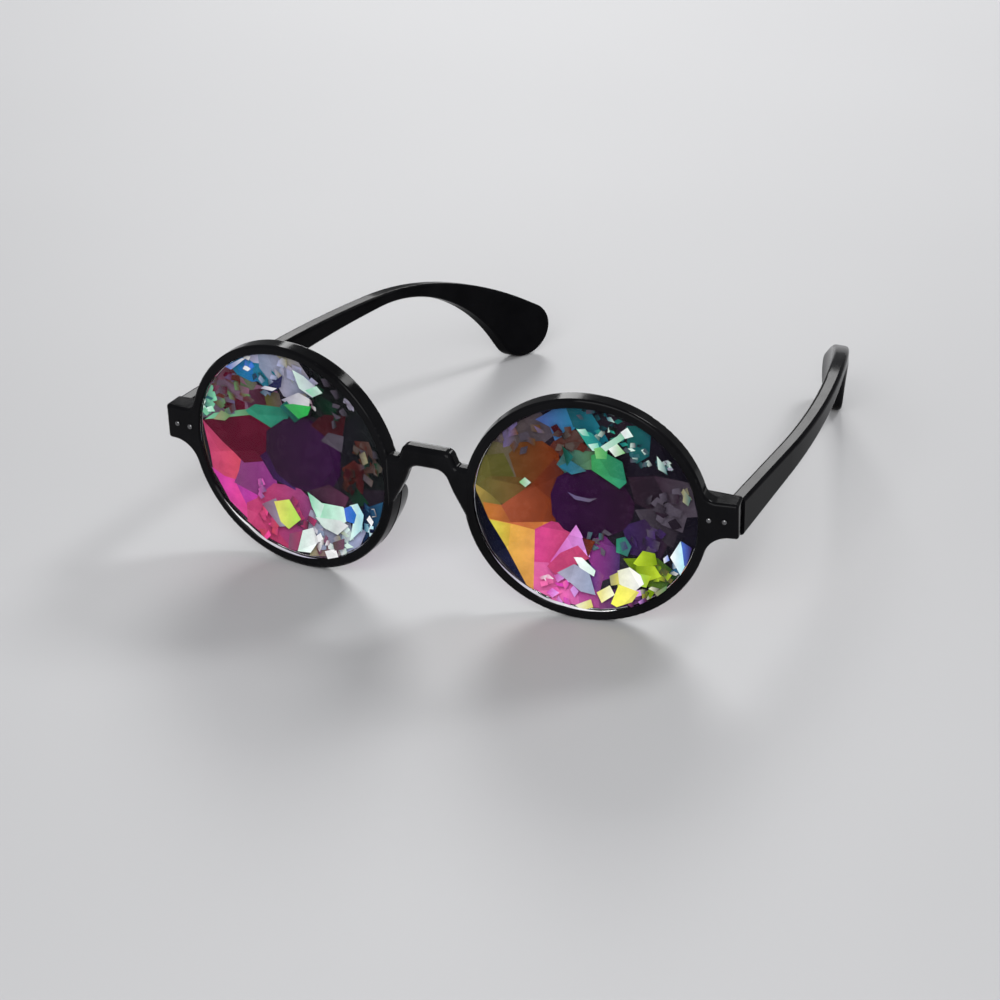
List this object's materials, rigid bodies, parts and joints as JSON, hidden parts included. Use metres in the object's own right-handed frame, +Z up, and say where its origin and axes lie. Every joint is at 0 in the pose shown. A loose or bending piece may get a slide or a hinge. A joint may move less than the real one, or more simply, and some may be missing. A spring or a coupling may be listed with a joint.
{
  "type": "faceted prism glasses",
  "caption": "Round glasses with faceted prism lenses that split light, a moulded front with nose pads, and curved temples that fold on barrel hinges.",
  "frame": {"origin": "on the ground under the middle of the bounding box, glasses open, standing on the rims and temple tips", "axes": "+X towards the wearer's left, +Y from the front back along the temples, +Z up"},
  "size_m": [0.1366, 0.1521, 0.054],
  "materials": {
    "frame_black": "polished black moulding",
    "temple_black": "polished black moulding",
    "prism_glass": "cut glass with a rainbow coating",
    "hinge_steel": "plain steel",
    "screw_steel": "bright steel",
    "rivet_chrome": "small domed heads of dark bright metal"
  },
  "bodies": {
    "front": {"front_frame": "frame_black", "lens_left": "prism_glass", "lens_right": "prism_glass", "nose_pad_left": "frame_black", "nose_pad_right": "frame_black", "hinge_front_left": "hinge_steel", "hinge_front_right": "hinge_steel", "hinge_screw_left": "screw_steel", "hinge_screw_right": "screw_steel", "rivet_inner_left": "rivet_chrome", "rivet_inner_right": "rivet_chrome", "rivet_outer_left": "rivet_chrome", "rivet_outer_right": "rivet_chrome"},
    "temple_left": {"temple_left": "temple_black", "hinge_temple_left": "hinge_steel"},
    "temple_right": {"temple_right": "temple_black", "hinge_temple_right": "hinge_steel"}
  },
  "joints": [
    {"name": "left_temple_fold", "type": "hinge", "parent": "front", "child": "temple_left", "pos_m": [0.06299, -0.06015, 0.02778], "axis": [0, 0, 1], "range_deg": [0, 81]},
    {"name": "right_temple_fold", "type": "hinge", "parent": "front", "child": "temple_right", "pos_m": [-0.06299, -0.06015, 0.02778], "axis": [0, 0, -1], "range_deg": [0, 72]}
  ]
}
